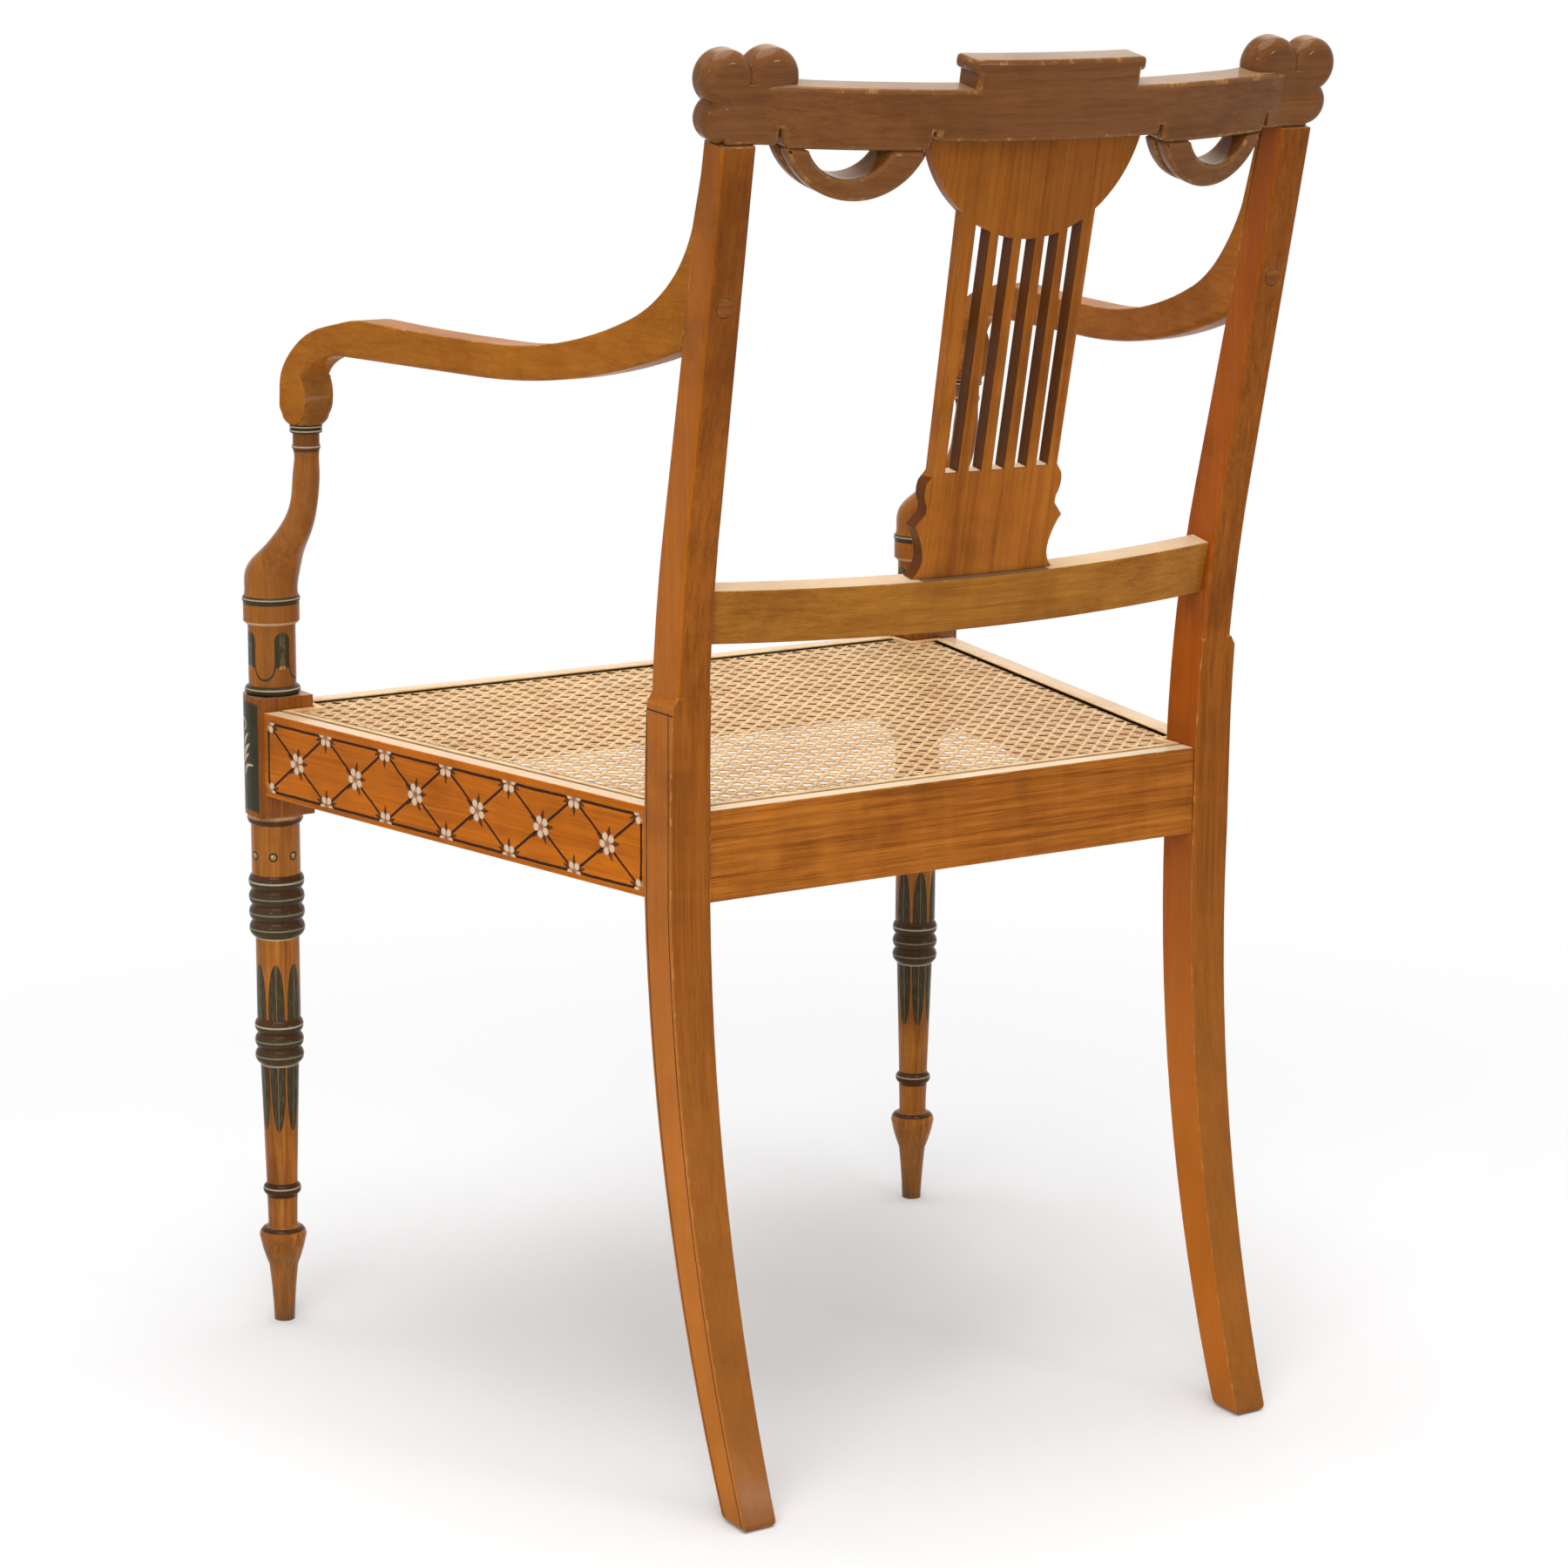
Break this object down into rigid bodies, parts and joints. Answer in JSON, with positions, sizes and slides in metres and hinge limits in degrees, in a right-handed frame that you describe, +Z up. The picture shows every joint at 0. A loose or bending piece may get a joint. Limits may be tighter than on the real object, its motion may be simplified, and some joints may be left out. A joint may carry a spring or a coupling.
{
  "type": "open-arm chair",
  "caption": "Painted satinwood open-arm chair with a caned seat, ringed turned front legs, sabre rear legs and a raked back with a pierced splat.",
  "frame": {"origin": "on the floor under the middle of the bounding box", "axes": "+Z up, -Y the way the chair faces, +X to the sitter's left"},
  "size_m": [0.569, 0.5476, 0.8927],
  "materials": {
    "satinwood": "polished satinwood with painted decoration",
    "cane": "natural split cane",
    "screw_steel": "plain"
  },
  "bodies": {
    "root": {"front_seat_rail": "satinwood", "rear_seat_rail": "satinwood", "side_seat_rail_left": "satinwood", "side_seat_rail_right": "satinwood", "rear_leg_left": "satinwood", "rear_leg_right": "satinwood", "front_leg_left": "satinwood", "front_leg_right": "satinwood", "arm_support_left": "satinwood", "arm_support_right": "satinwood", "arm_left": "satinwood", "arm_right": "satinwood", "crest_rail": "satinwood", "crest_swag_left": "satinwood", "crest_swag_right": "satinwood", "back_splat": "satinwood", "lower_back_rail": "satinwood", "arm_screw_pellets": "satinwood", "cane_seat": "cane", "cane_binder": "cane", "arm_screws": "screw_steel"}
  },
  "joints": []
}
